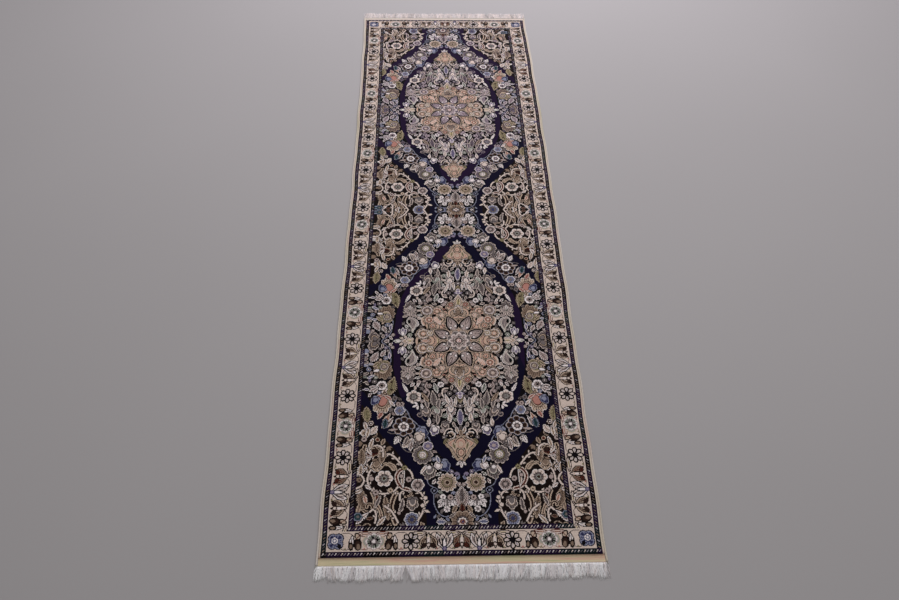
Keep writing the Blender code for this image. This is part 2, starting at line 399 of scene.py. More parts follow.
def medallion(c):
    edge = [(-30, 178), (12, 180), (34, 168), (50, 148), (66, 154), (84, 146), (98, 158), (120, 152), (126, 128),
            (118, 108), (132, 96), (128, 70), (118, 58), (140, 50), (150, 26), (142, 8), (142, -20), (-30, -20)]
    c.outline(edge, "k", 9.0)
    c.outline(edge, "kicprkbpcrpkbpcrpkbcpc", 3.0)
    for turn, long, wide, yarns in (
        (90, 172, 66, "kictpcbcpotcbtoctc"), (58, 128, 36, "bcrpcbrpcrt"), (42, 134, 50, "kcpccrpbcppic"),
        (26, 124, 34, "bcpcpcbrcpc"),
    ):
        cut, a, b = c.window(0, 0, turn, long + 6)
        t = np.clip(a / long, 0, 1)
        width = wide / 2 * np.sin(math.pi * t ** 1.94) ** 0.8
        c.lay(cut, np.where(a > long, 99, np.abs(b) - width), yarns, 2.4)
    c.outline([(-20, 176), (12, 176), (32, 164), (46, 146), (36, 132), (22, 140), (8, 158), (-20, 160)], "dcbcpr")
    c.leaf(0, 138, 66, 38, 90, "c", "k", 0.42, 0, "t")
    c.leaf(0, 150, 40, 18, 90, "y", "d", 0.42)
    c.palmette(0, 122, 25, 90, "ctot", 9, 0.9, "b")
    c.leaf(0, 62, 40, 22, 90, "t", "d")
    each(c.round, (104, 0, 44, "kcpcbycrcbpcpcbpcr", 2.6), (78, 98, 30, "cbcpcbcpcbc", 2.6),
        (14, 118, 26, "cbcpcbctc", 2.6), (92, 62, 24, "bcpcbcpc", 2.6))
    c.palmette(0, 120, 24, 90, "ctot", 9, 0.9, "b")
    for x, y, r, layers, petals in (
        (75, 127, 17, "ptcpi", 8), (110, 132, 19, "ftfci", 8), (58, 110, 10, "pci", 6), (103, 90, 15, "prci", 8),
        (122, 30, 20, "ctpci", 8), (98, 33, 11, "coi", 6), (90, 64, 9, "pdi", 6), (26, 158, 8, "rdi", 5),
    ):
        cut, away, _ = c.polar(x, y, 0, r + 8)
        for grow, yarn in ((6.5, "b"), (4.6, "c"), (2.4, "b")):
            c.tie(cut, (away < r + grow) & (away > r), yarn)
        c.rosette(x, y, r, petals, layers, 0, "d", 0.12)
    c.leaf(60, 66, 46, 20, 54, "p", "b", 0.6, 0, "i")
    c.leaf(100, 0, 30, 14, 0, "p", "b")
    for x, y, long, wide, turn in (
        (86, 108, 9, 5, -40), (118, 58, 9, 5, 40), (52, 146, 8, 4, 80), (104, 50, 6, 3, 10), (40, 130, 7, 4, 60),
        (134, 0, 4, 6, 0), (62, 92, 6, 3, 60),
    ):
        c.oval(x, y, long, wide, turn, "b")
    # the star: eight grey petals with dark outlines, a pair of light knots and a curl in each
    petals = ((15, 46, 62, 38, 68), (36, 17, 54, 36, 28))
    for x, y, long, wide, turn in petals:
        c.heart(x, y, long, wide, turn, 6.4, "dcc")
    for x, y, long, wide, turn in petals:
        c.heart(x, y, long, wide, turn, 1.5, "kkkfgf")
        ca, sa = towards(turn)
        for side in (-1, 1):
            px, py = x + long * 0.24 * ca - side * 9 * sa, y + long * 0.24 * sa + side * 9 * ca
            c.curl(px, py, 8, turn + 90 * side, side * 0.8, "k", 3.4)
            c.disc(px - 1.5 * ca, py - 1.5 * sa, 4, "w")
        c.leaf(x + long * 0.42 * ca, y + long * 0.42 * sa, long * 0.4, 6, turn, "f", "d")
    c.rosette(0, 0, 43, 8, "gkt", 22.5, rays="k")
    c.rosette(0, 0, 32, 8, "fzk", 0, "i", 0.34, "k")
    c.rosette(0, 0, 18, 8, "gpz", 22.5, "k", 0.28)
    c.disc(0, 0, 5.5, "r", "w")
    c.disc(0, 0, 2.4, "w")


def lozenge(c):
    c.vine([(140, 0), (166, 4), (196, 2)], "c", 6, "b", "t")
    each(c.leaf,
        (146, 0, 50, 30, 0, "c", "k", 0.45, 0, "t"), (156, 0, 24, 12, 0, "y", "i", 0.45), (196, 0, 28, 15, 0, "m"),
        (200, 0, 16, 6, 0, "w", ""), (178, 8, 20, 9, 60, "i"))
    c.tulip(192, 20, 34, 88, "l", 22, "w")
    c.oval(145, 74, 14, 8, 100, "w", "d")
    c.leaf(148, 22, 40, 15, 74, "g", "k", 0.6, -3)
    c.leaf(158, 30, 74, 38, 80, "f", "k", 0.7, 6, "g", 0)
    c.leaf(160, 36, 62, 27, 80, "g", "m", 0.7, 6, "f", 0)
    c.oval(172, 82, 9, 5, 80, "k")
    c.palmette(170, 128, 35, 90, "gfg", 13, 0.9)
    c.leaf(170, 112, 44, 14, 90, "f", vein="m")
    for turn, long in ((126, 36), (54, 36), (208, 30), (-28, 30)):
        c.leaf(170, 116, long, 13, turn, "g", vein="f")
    c.disc(134, 166, 8, "f", "k")
    c.leaf(134, 166, 20, 10, 75, "i")
    c.curl(62, 172, 24, 200, 0.6, "d", 3)
    c.disc(62, 176, 11, "w", "k")
    c.disc(36, 176, 6, "d")
    c.leaf(84, 170, 40, 16, 106, "m")
    c.vine([(40, 190), (54, 194), (58, 212), (50, 226)], "i", 5, "k")
    c.vine([(108, 168), (112, 186), (100, 204), (104, 220)], "f", 5, "k")
    c.palmette(0, 216, 22, 90, "ocl", 9, 0.9)
    c.disc(0, 212, 6, "l", "w")
    c.leaf(14, 222, 44, 11, 86, "i")
    c.palmette(30, 262, 27, 92, "fgi", 9, 0.8)
    c.leaf(30, 224, 40, 13, 92, "f")
    c.leaf(50, 208, 46, 13, 108, "i", "k", 0.6)
    c.leaf(90, 196, 64, 24, 98, "g", "k", 0.6)
    c.leaf(2, 268, 60, 18, 90, "l")
    c.leaf(34, 280, 44, 16, 84, "i", bend=3)
    c.palmette(74, 268, 27, 96, "gfm", 11, 0.8)
    c.leaf(66, 226, 44, 15, 86, "g", bend=-3)
    c.leaf(74, 284, 40, 13, 92, "g", bend=2)
    c.palmette(112, 268, 24, 118, "gig", 9, 0.85)
    c.leaf(116, 222, 46, 15, 104, "g", bend=4)
    c.leaf(126, 206, 44, 13, 126, "t")
    c.rosette(150, 222, 25, 6, "igm", 30, "k", 0.24, "k")
    c.disc(150, 222, 5, "g")
    c.leaf(170, 204, 40, 11, -62, "w", "k", 0.35)
    c.tulip(134, 252, 18, 20, "w", 60)
    c.leaf(124, 246, 22, 10, 100, "w")
    c.curl(130, 286, 11, 180, -0.9, "f", 2.2)
    c.leaf(128, 278, 12, 6, 80, "g", "")
    c.vine([(112, 310), (122, 298), (126, 270)], "g")
    c.palmette(80, 336, 20, 74, "lfw")
    c.leaf(98, 296, 34, 14, 84, "i", "k", 0.6)
    c.vine([(84, 318), (100, 330), (106, 318)], "f", 2.2)
    c.palmette(48, 320, 18, 84, "gfg")
    c.leaf(14, 330, 26, 12, 100, "c")
    # the pendant at each end
    c.palmette(0, 385, 50, 90, "cpt", 11, 0.95)
    c.outline([(-20, 378), (0, 366), (16, 362), (34, 372), (50, 384), (44, 400), (33, 412), (24, 432), (12, 448),
               (0, 462), (-20, 462)], "kctcbcprcprbcprc", 2.2)
    for y, r in ((392, 20), (422, 13)):
        c.disc(0, y, 6, "c", "b")
        c.round(0, y, r, "bcbpcrc", 2.4, 1.3)
    c.leaf(24, 384, 30, 12, 104, "o", "c")
    c.disc(30, 360, 14, "c", "k")
    c.curl(34, 361, 10, 160, -0.9, "k", 6)
    c.leaf(42, 372, 22, 9, 60, "o")
    c.vine([(26, 342), (36, 338), (48, 346), (52, 358)], "i", 4.5, "k")
    c.leaf(0, 364, 22, 14, -90, "t")
    c.tulip(0, 450, 20, 90, "w", 50)


def garland_chain(c):
    c.vine([(250, 14), (236, 30), (229, 60), (230, 94)], "s")
    c.vine([(250, 14), (262, 4), (262, -6)], "s")
    c.palmette(286, 8, 25, 60, "gotg", 9)
    c.disc(246, -2, 10, "f", "k")
    c.leaf(248, 34, 34, 17, 62, "f", "k", 0.6)
    c.leaf(236, 44, 30, 12, 94, "l")
    c.leaf(272, 42, 48, 26, 62, "f", "k", 0.6)
    c.palmette(258, 100, 42, 105, "tco", 13)
    c.rosette(250, 104, 15, 8, "gio")
    c.oval(275, 119, 10, 5, 15, "w", "k")
    c.leaf(280, 136, 30, 12, 30, "s")
    c.leaf(214, 142, 76, 36, 76, "o", "k", 0.6)
    c.disc(224, 165, 4, "d")
    c.disc(222, 194, 4, "d")
    c.leaf(238, 182, 36, 15, 66, "c")
    c.rosette(255, 178, 18, 6, "wfk", 0, "k", 0.14)
    c.tulip(266, 184, 30, 28, "f", 30)
    c.palmette(248, 232, 42, 80, "ctdr", 11)
    c.leaf(228, 234, 30, 12, 130, "i")
    c.palmette(270, 228, 19, 60, "us", 5)
    c.vine([(214, 212), (206, 232), (214, 250)], "s", 2.2)
    c.disc(210, 226, 9, "g", "k")
    c.leaf(246, 272, 34, 16, 62, "r")
    c.leaf(222, 278, 62, 20, 66, "p", "k", 0.6)
    c.leaf(212, 292, 46, 16, 62, "f", "k", 0.6)
    c.leaf(236, 300, 38, 20, 84, "e")
    c.rosette(193, 272, 18, 6, "sg")
    c.disc(187, 248, 8, "f", "k")
    c.disc(198, 248, 8, "f", "k")
    c.rosette(178, 328, 34, 8, "dgk", 0, "s", 0.2, "s")
    c.rosette(179, 330, 17, 8, "wgf", 0, "k", 0.1)
    c.vine([(94, 394), (98, 372), (116, 350), (140, 318), (158, 300), (168, 276), (182, 258)], "s")
    c.palmette(124, 342, 25, 110, "us")
    c.palmette(128, 362, 24, 80, "gi")
    c.leaf(146, 372, 46, 28, 40, "i")
    c.leaf(150, 376, 40, 16, 80, "f")
    c.leaf(164, 362, 34, 14, 72, "g")
    c.disc(196, 374, 12, "f", "k")
    c.leaf(192, 366, 28, 16, 60, "w", "k", 0.4)
    c.vine([(148, 420), (170, 414), (186, 392), (190, 366), (184, 348)], "g")
    c.vine([(196, 352), (214, 354), (228, 348)], "g")
    c.leaf(196, 338, 30, 8, 6, "f")
    c.rosette(118, 428, 32, 10, "gomiw", 0, "k", 0.18)
    c.rosette(118, 428, 10, 8, "iw", 0, "g", 0.1)
    c.rosette(102, 398, 17, 8, "lf")
    c.disc(140, 396, 8, "g", "k")
    c.palmette(94, 474, 28, 75, "gmg")
    c.leaf(106, 462, 34, 12, 60, "i")
    c.disc(98, 470, 6, "w")
    c.palmette(56, 456, 24, 120, "us")
    c.disc(70, 464, 13, "f", "k")
    c.disc(71, 464, 7, "w")
    c.leaf(76, 430, 30, 12, 110, "s")


def neck(c):
    c.vine([(34, 622), (52, 624), (70, 612), (82, 588), (84, 562), (81, 552)], "s", 2.6)
    c.rosette(82, 544, 9, 4, "ks", 0, "s")
    c.vine([(84, 534), (98, 524), (104, 508)], "s")
    c.rosette(43, 519, 31, 12, "cotct", 0, "k", 0.24)
    c.disc(43, 519, 6, "d")
    c.leaf(76, 618, 14, 6, 60, "s", "")
    c.tulip(44, 566, 40, 92, "w", 42, "g")
    c.disc(45, 602, 10, "w", "k")
    c.disc(34, 566, 9, "f", "k")
    c.disc(56, 564, 9, "w", "k")
    each(c.leaf, (56, 572, 20, 10, 30, "w"), (0, 530, 74, 44, 90, "f", "k", 0.55), (0, 536, 50, 24, 90, "g", "d"),
        (0, 584, 34, 18, 90, "x"), (16, 590, 28, 13, 62, "t"))
    c.rosette(0, 640, 34, 8, "tgpc", 22.5)
    c.rosette(0, 640, 13, 8, "iru")
    c.disc(62, 640, 12, "f", "k")
    c.leaf(46, 640, 30, 16, 0, "s")
    c.leaf(20, 612, 24, 10, 45, "g")


def spandrels(c):
    scroll = {"wide": 5.4, "edge": "k", "thorns": "i"}
    for ribbon, wide, core in (
        ([(196, 550), (206, 580), (204, 612), (194, 642)], 15, "d"),
        ([(234, 640), (238, 612), (248, 588), (252, 560)], 13, "x"),
        ([(204, 474), (220, 458), (242, 462), (262, 476)], 12, "t"),
        ([(278, 476), (292, 452), (300, 424), (296, 396)], 13, "d"),
        ([(286, 560), (298, 584), (304, 608)], 13, "t"),
    ):
        c.vine(ribbon, "c", wide, "k", core)
    c.leaf(228, 556, 80, 20, 100, "t", "b")
    c.leaf(300, 528, 78, 26, 104, "t", "b", 0.5, -6)
    c.leaf(290, 556, 30, 14, 110, "p", "b")
    c.palmette(146, 574, 24, 90, "gig")
    c.leaf(174, 566, 44, 14, 84, "g")
    c.rosette(146, 632, 23, 8, "sgu", 0, "k", 0.16)
    c.vine([(128, 634), (116, 612), (110, 588), (114, 564), (126, 548), (146, 540), (166, 540), (182, 552),
            (184, 572)], "i", **scroll)
    c.disc(116, 590, 6, "i", "b")
    c.disc(108, 567, 6, "i", "b")
    c.leaf(112, 604, 20, 8, 160, "i")
    c.vine([(150, 552), (156, 560), (168, 562)], "c", 6, "b", "d")
    c.curl(181, 600, 9, 200, -0.7, "i", 2.6, "b")
    c.disc(184, 612, 5, "f", "b")
    c.vine([(186, 640), (192, 628), (206, 606), (226, 590)], "i", **scroll)
    c.vine([(158, 540), (176, 534), (190, 518), (195, 498), (188, 482), (176, 474)], "i", 12, "k", "x")
    c.vine([(146, 504), (150, 488), (160, 476), (172, 472)], "i", 5.4, "k")
    c.leaf(172, 474, 62, 11, 88, "c", "b", 0.5, -3)
    c.disc(158, 508, 9, "f", "k")
    c.disc(180, 497, 6, "f", "b")
    c.rosette(131, 526, 20, 6, "fgf", 0, "k", 0.16)
    c.vine(
        [(190, 532), (204, 546), (230, 552), (256, 548), (272, 534), (281, 512), (278, 486), (268, 470)], "i",
        **scroll,
    )
    c.vine([(176, 470), (188, 452), (206, 432), (224, 424), (262, 424), (284, 446), (304, 474)], "i", **scroll)
    c.disc(172, 470, 8, "o", "b")
    c.disc(255, 548, 9, "f", "b")
    c.disc(212, 542, 8, "c", "b")
    c.leaf(270, 540, 26, 10, -42, "i", "b")
    c.rosette(232, 504, 27, 6, "igm", 0, "k", 0.26, "k")
    c.disc(232, 504, 5, "d")
    c.disc(270, 504, 7, "f", "b")
    c.palmette(256, 452, 24, 80, "ctt", 7, 1.0, "b")
    c.vine([(214, 452), (232, 460), (246, 476), (256, 480), (268, 470)], "c", 3.8, "k")
    c.vine([(194, 478), (202, 462), (220, 452)], "c", 3.4, "b")
    c.leaf(238, 402, 56, 22, 84, "t", "b")
    c.curl(274, 592, 18, 30, 0.95, "c", 9, "b", "d")
    c.vine([(252, 640), (250, 616), (258, 600), (270, 608)], "i", **scroll)
    c.vine([(238, 620), (244, 600), (258, 584), (262, 566), (270, 548)], "c", 3.8, "k")
    c.leaf(272, 610, 40, 14, 40, "i", "b")
    c.leaf(286, 622, 30, 12, 46, "f", "b")
    c.rosette(303, 622, 13, 6, "eg")
    c.leaf(240, 556, 46, 12, 70, "g", "b")
    c.leaf(222, 620, 40, 13, 50, "c", "b")
    c.leaf(284, 468, 44, 13, 40, "c", "b")
    c.leaf(292, 436, 30, 16, 70, "i", "b")
    c.rosette(282, 424, 13, 6, "fx")
    c.vine([(238, 432), (242, 404), (256, 394), (268, 396)], "i", **scroll)
    c.palmette(262, 408, 18, 70, "xd", 7, 1.0, "c")
    c.leaf(290, 400, 30, 13, 120, "i", "b")
    c.leaf(272, 366, 46, 14, 76, "c", "b")
    c.leaf(306, 404, 60, 24, 94, "t", "b")
    c.leaf(303, 456, 44, 18, 88, "c", "b")
    c.vine([(316, 536), (298, 526), (292, 508), (302, 492), (316, 488)], "i", 5.4, "k")
    c.disc(306, 508, 8, "t", "b")
    c.rosette(300, 350, 13, 6, "ct", 0, "b")
    c.leaf(294, 540, 30, 12, 20, "c", "b")
    c.curl(272, 352, 13, 90, 0.9, "c", 4, "b", "d")
    c.disc(258, 374, 5, "x", "c")
    c.leaf(262, 326, 36, 22, 60, "i", "b")
    c.leaf(286, 330, 44, 14, 80, "c", "b")
    c.disc(300, 372, 9, "f", "k")
    c.leaf(300, 256, 58, 28, 96, "o", "b")
    c.leaf(304, 310, 34, 13, 110, "c", "b")


SIDE_MOTIFS = "CPLVLDPRQDLVLDPRQDLVLDPRQDLVLDPRQDLVLDPRQDLVLDPRQLC"
SIDE_PLACES = (
    67, 118, 165, 215, 265, 327, 380, 435, 480, 545, 605, 655, 710, 770, 828, 886, 937, 995, 1050, 1100, 1155, 1208,
    1262, 1316, 1358, 1411, 1470, 1522, 1575, 1630, 1683, 1735, 1788, 1840, 1893, 1945, 1997, 2048, 2100, 2150,
    2207, 2265, 2320, 2375, 2430, 2485, 2533, 2580, 2627, 2673, 2723,
)
END_MOTIFS = (("L", 0), ("V", 50), ("L", 95), ("D", 145), ("P", 200), ("R", 250), ("Q", 302), ("C", 358))


def side_border(across, along, first):
    """The ivory border along a side: columns from its inner edge out, rows from the near end."""
    c = Cartoon(across, along, "a", 3.0, toothed=False)
    run = list(zip(SIDE_MOTIFS, [place - first for place in SIDE_PLACES]))
    border_vines(c, run)
    for kind, place in run:
        border_motif(c, kind, place)
    return c.ink


def end_border(across, along):
    """The border across an end: rows from its inner edge out, columns from the middle."""
    c = Cartoon(along, across, "a", 3.0, toothed=False)
    border_vines(c, END_MOTIFS)
    for kind, place in END_MOTIFS:
        border_motif(c, kind, place)
    return c.ink.T


def border_vines(c, run):
    """Thin stems that arch from motif to motif, with small pink and straw patches under them."""
    for i, (kind, y) in enumerate(run[:-1]):
        gap = run[i + 1][1] - y
        if kind + run[i + 1][0] in ("PR", "RQ"):
            fill, key = "p", "x"
        elif kind in "LC":
            fill, key = "y", "d"
        else:
            fill, key = "", "d"
        mid = y + gap / 2
        c.vine([(20, y), (8, mid - gap * 0.25), (5, mid), (8, mid + gap * 0.25), (20, y + gap)], key, 1.8)
        if fill:
            c.leaf(7, mid - gap * 0.36, gap * 0.72, 10, 90, fill, key, 0.5, -2)
        c.vine([(48, y + gap * 0.2), (54, mid), (48, y + gap * 0.8)], key, 1.8)
        c.disc(51, mid, 2.6, "r" if i % 2 else "o")


def border_motif(c, kind, y):
    side = -1 if kind == "Q" else 1
    if kind == "D":
        c.rosette(31, y, 24, 8, "k", 0, "k", 0.3)
        for k in range(8):
            dx, dy = towards(45 * k, 8)
            c.leaf(31 + dx, y + dy, 15, 9, 45 * k, "i", "k", 0.62, 0, "s")
        c.disc(31, y, 6, "k", "k")
    elif kind in "PQ":
        c.oval(38, y + side * 7, 18, 12, 10 * side, "b")
        c.oval(41, y + side * 8, 13, 8, 10 * side, "d")
        c.oval(45, y + side * 9, 8, 5, 10 * side, "t")
        c.leaf(52, y - side * 9, 38, 10, 180, "i", "b", 0.5, side * 2, "d")
        c.oval(16, y + side * 6, 8, 5, 30 * side, "c", "b")
        c.oval(44, y - side * 12, 7, 4, 0, "t", "b")
        c.vine([(24, y + side * 2), (10, y + side * 12), (7, y + side * 20)], "x", 2)
    elif kind == "R":
        for out in (-1, 1):
            c.oval(30, y + out * 21, 12, 8, 0, "m", "c")
        c.rosette(30, y, 23, 8, "m", 0, "f", 0.2, "g")
        for k in range(8):
            turn = 45 * k + 22.5
            dx, dy = towards(turn, 12)
            c.oval(30 + dx, y + dy, 8, 2.8, turn, "k" if k % 2 else "g")
        c.disc(30, y, 5, "w", "g")
    elif kind == "V":
        for out in (-1, 1):
            c.leaf(55, y, 50, 14, 180 + out * 25, "f", "k", 0.6, out * 4, "k")
            c.leaf(54, y, 42, 11, 180 + out * 10, "g", "k", 0.6, out * 2, "k")
        c.leaf(54, y, 30, 8, 180, "w")
        c.disc(53, y, 4, "l", "u")
    elif kind == "L":
        fill = "x" if y % 3 < 1 else "d"
        for out in (-1, 1):
            c.leaf(13, y + out * 3, 40, 16, out * 26, fill, "b", 0.6, out * 3, "t")
            c.leaf(40, y + out * 6, 16, 9, out * 60, fill, "b")
        c.leaf(9, y, 42, 10, 0, "p", "b", 0.5, 0, "y")
        c.leaf(20, y, 26, 4, 0, "w", "")
        c.disc(42, y, 4, "i", "d")
    elif kind == "C":
        c.rosette(29, y, 24, 4, "un", 45, "n", 0.3, "s")
        c.spokes(29, y, 4, 22, 8, "s", 22.5, 3)
        c.rosette(27, y + 3, 10, 6, "sw", 0, "u")
        c.disc(43, y - 11, 6, "k")



def mm(value):
    return value * 1000.0


def smooth_step(value, low, high):
    t = np.clip((value - low) / (high - low), 0, 1)
    return t * t * (3 - 2 * t)


def as_it_lies(co):
    """Moves points from the plan to how the rug lies: a slight bow, taper and uneven selvedges."""
    t = co[:, 1] / HALF_LENGTH
    side = np.sign(co[:, 0]) * smooth_step(np.abs(co[:, 0]), 0.30, 0.41)
    ripple = 0.0011 * np.sin(co[:, 1] * 17 + 1.3 + side) + 0.0008 * np.sin(co[:, 1] * 31 + 2.1 * side)
    co[:, 0] += BOW * (t * t - 1 / 3) + SWERVE * (t ** 3 - 0.6 * t) + TAPER * co[:, 0] * t
    co[:, 0] += ripple * np.abs(side)
    co[:, 1] += LENGTHWISE * (t * t - 1 / 3)
    return co


# metres that the middle line bows and swerves, and that the length drifts; the taper is a share of the width
BOW, SWERVE, TAPER, LENGTHWISE = -0.0083, -0.0075, 0.0084, 0.0122


def points_of(obj):
    co = np.empty(len(obj.data.vertices) * 3)
    obj.data.vertices.foreach_get("co", co)
    return co.reshape(-1, 3)


def put_points(obj, co):
    """Gives a piece its points, bent from the plan to how the rug lies."""
    obj.data.vertices.foreach_set("co", np.ascontiguousarray(as_it_lies(co), float).ravel())
    obj.data.update()


def face_centres(mesh):
    centre = np.empty(len(mesh.polygons) * 3)
    mesh.polygons.foreach_get("center", centre)
    return centre.reshape(-1, 3)


def dye_faces(mesh, attribute, colours):
    """Gives every face its own colour, in an attribute that the finish reads."""
    rgba = np.ones((len(colours), 4), np.float32)
    rgba[:, :3] = colours
    mesh.attributes.new(attribute, "FLOAT_COLOR", "FACE").data.foreach_set("color", rgba.ravel())


def linear(rgb):
    v = np.asarray(rgb, float) / 255
    return np.where(v <= 0.04045, v / 12.92, ((v + 0.055) / 1.055) ** 2.4)


def yarn_colours():
    """The linear colour of each yarn, as it is set in the panel."""
    colours = bpy.context.scene.rug_colours
    return linear([[round(255 * c) for c in getattr(colours, f"yarn_{key}")] for key in KEYS])


def deselect():
    if bpy.context.object and bpy.context.object.mode != "OBJECT":
        bpy.ops.object.mode_set(mode="OBJECT")
    bpy.ops.object.select_all(action="DESELECT")


def only(obj):
    deselect()
    obj.select_set(True)
    bpy.context.view_layer.objects.active = obj


def edit_edges(obj):
    """Opens a piece in edit mode, by its edges, with none selected."""
    only(obj)
    bpy.ops.object.mode_set(mode="EDIT")
    bpy.ops.mesh.select_mode(type="EDGE")
    bpy.ops.mesh.select_all(action="DESELECT")


def turn_outwards():
    """Points all faces of the piece in edit mode outwards, and closes edit mode."""
    bpy.ops.mesh.select_all(action="SELECT")
    bpy.ops.mesh.normals_make_consistent(inside=False)
    bpy.ops.object.mode_set(mode="OBJECT")


def cut_in_rings(obj, axis, cuts):
    """Divides a cylinder that runs along an axis into rings."""
    edit_edges(obj)
    shape = bmesh.from_edit_mesh(obj.data)
    for edge in shape.edges:
        edge.select = abs(edge.verts[0].co[axis] - edge.verts[1].co[axis]) > 0.1
    bmesh.update_edit_mesh(obj.data)
    bpy.ops.mesh.subdivide_edgering(number_cuts=cuts)
    bpy.ops.object.mode_set(mode="OBJECT")


def made_of(name, points, faces):
    """A piece from rows of points and the faces between them."""
    mesh = bpy.data.meshes.new(name)
    mesh.from_pydata(np.vstack(points).tolist(), [], faces)
    obj = bpy.data.objects.new(name, mesh)
    bpy.context.scene.collection.objects.link(obj)
    return obj


def finish_piece(obj, name, material, slot, *nodes, smooth=False):
    """Names a piece, dresses it, and lets it stand for its nodes of the frame."""
    only(obj)
    if smooth:
        bpy.ops.object.shade_smooth()
    bpy.ops.object.transform_apply(location=True, rotation=True, scale=True)
    obj.name = obj.data.name = name
    obj.data.materials.clear()
    obj.data.materials.append(material)
    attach(obj, "root")
    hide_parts(*nodes)


class Tie:
    """One value in a finish. Sums written with it add the Math nodes."""

    def __init__(self, dye, socket):
        self.dye, self.socket = dye, socket

    def __add__(self, other):
        return self.dye.node("ShaderNodeMath", {"operation": "ADD"}, (self, other))

    def __mul__(self, other):
        return self.dye.node("ShaderNodeMath", {"operation": "MULTIPLY"}, (self, other))

    __radd__, __rmul__ = __add__, __mul__


class Dye:
    """A finish: its material, and one method that adds and wires any node."""

    def __init__(self, name, roughness=0.9, sheen=0.0):
        self.material = bpy.data.materials.new(name)
        self.material.use_nodes = True
        self.tree = self.material.node_tree
        self.shader = self.tree.nodes["Principled BSDF"]
        self.shader.inputs["Roughness"].default_value = roughness
        self.shader.inputs["Specular IOR Level"].default_value = 0.05
        self.shader.inputs["Sheen Weight"].default_value = sheen
        self.shader.inputs["Sheen Roughness"].default_value = 0.5
        self.coords = self.node("ShaderNodeTexCoord", out="Object")

    def put(self, socket, value):
        if isinstance(value, Tie):
            self.tree.links.new(value.socket, socket)
        else:
            socket.default_value = value

    def node(self, kind, settings=None, values=(), out=0):
        made = self.tree.nodes.new(kind)
        for key, value in (settings or {}).items():
            setattr(made, key, value)
        for key, value in values.items() if isinstance(values, dict) else enumerate(values):
            self.put(made.inputs[key], value)
        return Tie(self, made.outputs[out])

    def ramp(self, value, stops):
        """Colours along a value, from stops of a place and a colour."""
        made = self.node("ShaderNodeValToRGB", {}, (value,))
        elements = made.socket.node.color_ramp.elements
        while len(elements) < len(stops):
            elements.new(0.5)
        for element, (place, shade) in zip(elements, stops):
            element.position, element.color = place, (*shade, 1)
        return made

    def mix(self, share, a, b):
        return self.node("ShaderNodeMix", {"data_type": "RGBA"}, {0: share, 6: (*a, 1), 7: (*b, 1)}, 2)

    def scaled(self, x, y, z):
        return self.node("ShaderNodeVectorMath", {"operation": "MULTIPLY"}, (self.coords, (x, y, z)))

    def noise(self, scale, detail=2.0, where=None, rough=0.5):
        values = {"Vector": where or self.coords, "Scale": scale, "Detail": detail, "Roughness": rough}
        return self.node("ShaderNodeTexNoise", {}, values)

    def turns(self, scale, uneven):
        """Bands across the rug, one for each turn of yarn."""
        values = {"Vector": self.coords, "Scale": scale, "Distortion": uneven}
        return self.node("ShaderNodeTexWave", {"bands_direction": "Y"}, values)

    def own(self, attribute):
        """Each face's own colour."""
        return self.node("ShaderNodeAttribute", {"attribute_name": attribute}, out="Color")

    def times(self, colour, share):
        """A colour made lighter or darker by a value round 1."""
        grey = self.node("ShaderNodeCombineColor", {}, (share, share, share))
        return self.node("ShaderNodeVectorMath", {"operation": "MULTIPLY"}, (colour, grey))

    def bump(self, height, depth):
        values = {"Strength": 1.0, "Distance": depth, "Height": height}
        self.put(self.shader.inputs["Normal"], self.node("ShaderNodeBump", {}, values))

    def finish(self, colour, roughness=None):
        self.put(self.shader.inputs["Base Color"], colour)
        if roughness is not None:
            self.put(self.shader.inputs["Roughness"], roughness)
        return self.material


def wool_pile(name, sheen):
    """Cut wool: each knot's own yarn, with fibres, stripes of uneven dye and a brushed nap."""
    dye = Dye(name, 0.92, sheen)
    fibre = dye.noise(1100, 3, rough=0.6)
    tuft = dye.noise(380)
    stripe = dye.noise(1.0, 3, dye.scaled(2.2, 46, 1))
    patch = dye.noise(5.5)
    share = 0.70 + fibre * 0.22 + tuft * 0.18 + stripe * 0.12 + patch * 0.10
    dye.bump(fibre * 0.35 + tuft * 0.65, 0.0012)
    return dye.finish(dye.times(dye.own("knot"), share), 0.80 + fibre * 0.16)


def twined_cotton():
    """Spun yarn in one natural colour with soft lighter and darker lengths."""
    dye = Dye("twined_cotton", 0.9, 0.15)
    fibre = dye.noise(1200, 4, rough=0.65)
    length = dye.noise(14)
    dye.bump(fibre, 0.0004)
    tone = dye.mix(length, (0.80, 0.76, 0.71), (0.80 * 0.93, 0.76 * 0.92, 0.71 * 0.90))
    return dye.finish(dye.times(tone, 0.80 + fibre * 0.26 + length * 0.14), 0.84 + fibre * 0.12)


def foundation_back():
    """The rug's back: rows of knots seen through the cotton, with a rib for each weft."""
    dye = Dye("foundation_back", 0.95)
    ribs = dye.turns(140, 0.6)
    fibre = dye.noise(900, 3)
    dye.bump(ribs * 0.7 + fibre * 0.3, 0.0006)
    return dye.finish(dye.times(dye.own("knot"), 0.72 + ribs * 0.25 + fibre * 0.15))


def overcast_wool():
    """Cream wool wound side by side, with yellower and rosier lengths along the rug."""
    dye = Dye("overcast_wool", 0.9, 0.2)
    hue = dye.ramp(dye.noise(2.6, 2, dye.scaled(1, 1, 0)), (
        (0.30, (0.62, 0.56, 0.40)),
        (0.45, (0.70, 0.63, 0.53)),
        (0.58, (0.74, 0.67, 0.61)),
        (0.72, (0.72, 0.58, 0.50)),
    ))
    turns = dye.turns(105, 1.5)
    fibre = dye.noise(1300, 3)
    dye.bump(turns * 0.5 + fibre * 0.5, 0.0007)
    return dye.finish(dye.times(hue, 0.72 + turns * 0.16 + fibre * 0.24), 0.84 + fibre * 0.12)


